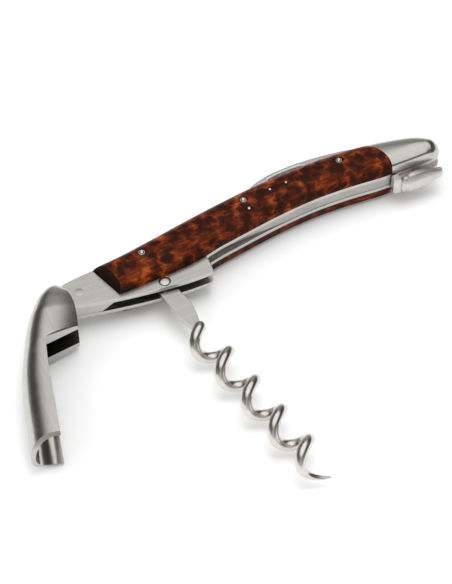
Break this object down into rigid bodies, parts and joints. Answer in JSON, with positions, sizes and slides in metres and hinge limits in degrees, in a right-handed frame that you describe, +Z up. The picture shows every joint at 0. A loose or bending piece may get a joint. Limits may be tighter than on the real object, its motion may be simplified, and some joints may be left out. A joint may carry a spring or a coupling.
{
  "type": "waiters corkscrew",
  "caption": "Folding waiter's corkscrew with wooden scales, a bottle lever, a helical worm and a foil-cutting blade.",
  "frame": {"origin": "middle of the whole tool's box, on the surface it lies on", "axes": "+X along the handle from the lever end to the nose, +Y across the handle from the belly to the back, +Z up out of the surface the tool lies on"},
  "size_m": [0.1366, 0.0908, 0.0124],
  "materials": {
    "satin_steel": "satin brushed",
    "lever_steel": "satin, polished along the outside",
    "polished_steel": "polished",
    "pin_steel": "polished heads",
    "blade_steel": "fine satin",
    "snakewood": "oiled, semi gloss"
  },
  "bodies": {
    "handle": {"upper_liner": "satin_steel", "upper_scale": "snakewood", "upper_bolster": "satin_steel", "upper_scale_pin_front": "pin_steel", "upper_scale_pin_middle": "pin_steel", "upper_scale_pin_rear": "pin_steel", "upper_inlay_pin_a": "pin_steel", "upper_inlay_pin_b": "pin_steel", "upper_inlay_pin_c": "pin_steel", "lower_liner": "satin_steel", "lower_scale": "snakewood", "lower_bolster": "satin_steel", "lower_scale_pin_front": "pin_steel", "lower_scale_pin_middle": "pin_steel", "lower_scale_pin_rear": "pin_steel", "lower_inlay_pin_a": "pin_steel", "lower_inlay_pin_b": "pin_steel", "lower_inlay_pin_c": "pin_steel", "front_spacer": "satin_steel", "back_spring": "satin_steel", "belly_spring": "satin_steel", "front_rivet": "pin_steel", "back_spring_rivet_1": "pin_steel", "back_spring_rivet_2": "pin_steel", "belly_spring_rivet": "pin_steel", "worm_pin": "pin_steel", "blade_pin": "pin_steel"},
    "lever_pivot": {"lever_pin": "pin_steel"},
    "lever": {"lever": "lever_steel"},
    "worm": {"worm_shank": "satin_steel", "worm_screw": "polished_steel"},
    "foil_blade": {"foil_blade": "blade_steel"}
  },
  "joints": [
    {"name": "lever_close", "type": "hinge", "parent": "handle", "child": "lever_pivot", "pos_m": [-0.04453, 0.02814, 0.0062], "axis": [0, 0, 1], "range_deg": [-4.9, 36.5]},
    {"name": "lever_swing", "type": "hinge", "parent": "lever_pivot", "child": "lever", "pos_m": [-0.04453, 0.02814, 0.0062], "axis": [0, 0, 1], "range_deg": [0, 62]},
    {"name": "worm_fold", "type": "hinge", "parent": "handle", "child": "worm", "pos_m": [-0.01743, 0.0224, 0.0062], "axis": [0, 0, 1], "range_deg": [-10.65, 79.26]},
    {"name": "blade_open", "type": "hinge", "parent": "handle", "child": "foil_blade", "pos_m": [0.06087, 0.03594, 0.0062], "axis": [0, 0, 1], "range_deg": [-175, 0]}
  ],
  "couplings": [
    {"joint": "worm_fold", "follows": "lever_close", "ratio": 2.1712}
  ]
}
